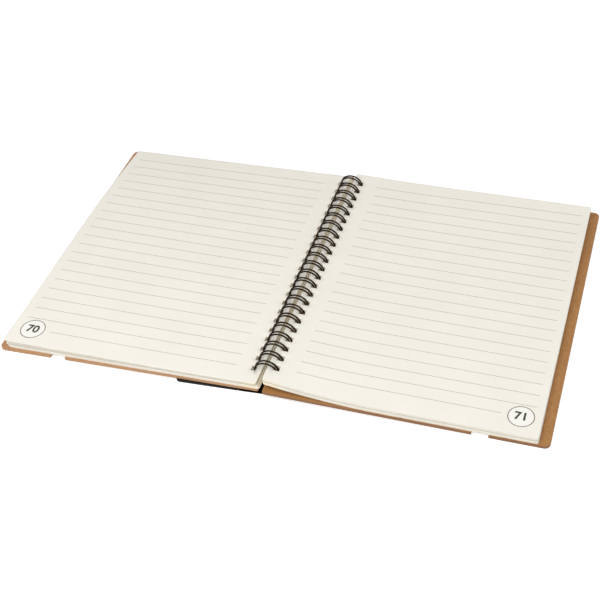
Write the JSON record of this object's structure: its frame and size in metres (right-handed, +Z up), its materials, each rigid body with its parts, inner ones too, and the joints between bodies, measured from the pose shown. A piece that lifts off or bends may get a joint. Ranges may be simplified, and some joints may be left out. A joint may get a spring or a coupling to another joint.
{
  "type": "twin-loop spiral notebook",
  "caption": "Hard-cover ruled notebook on a black twin-loop wire, lying open; its front cover and both stacks of leaves turn about the wire.",
  "frame": {"origin": "on the table, under the middle of the wire, halfway up the page", "axes": "+X across the open spread towards the right page's fore-edge, +Y from the foot to the head of the page, +Z up"},
  "size_m": [0.3448, 0.214, 0.0173],
  "materials": {
    "kraft_board": "uncoated brown kraft board",
    "black_leatherette": "fine-grained black leatherette",
    "black_wire": "glossy black nylon-coated wire",
    "cream_paper": "uncoated cream paper with thin grey ruling"
  },
  "bodies": {
    "back_cover": {"back_board": "kraft_board", "spine_flap": "black_leatherette", "wire_binding": "black_wire"},
    "front_cover": {"front_board": "kraft_board"},
    "left_leaves": {"left_pages": "cream_paper"},
    "right_leaves": {"right_pages": "cream_paper"}
  },
  "joints": [
    {"name": "front_cover_turn", "type": "hinge", "parent": "back_cover", "child": "front_cover", "pos_m": [0, 0, 0.0089], "axis": [0, 1, 0], "range_deg": [0, 181.8]},
    {"name": "left_leaves_turn", "type": "hinge", "parent": "back_cover", "child": "left_leaves", "pos_m": [0, 0, 0.0089], "axis": [0, 1, 0], "range_deg": [0, 181.8]},
    {"name": "right_leaves_turn", "type": "hinge", "parent": "back_cover", "child": "right_leaves", "pos_m": [0, 0, 0.0089], "axis": [0, 1, 0], "range_deg": [-181.8, 0]}
  ],
  "couplings": [
    {"joint": "left_leaves_turn", "follows": "front_cover_turn", "ratio": 1}
  ]
}
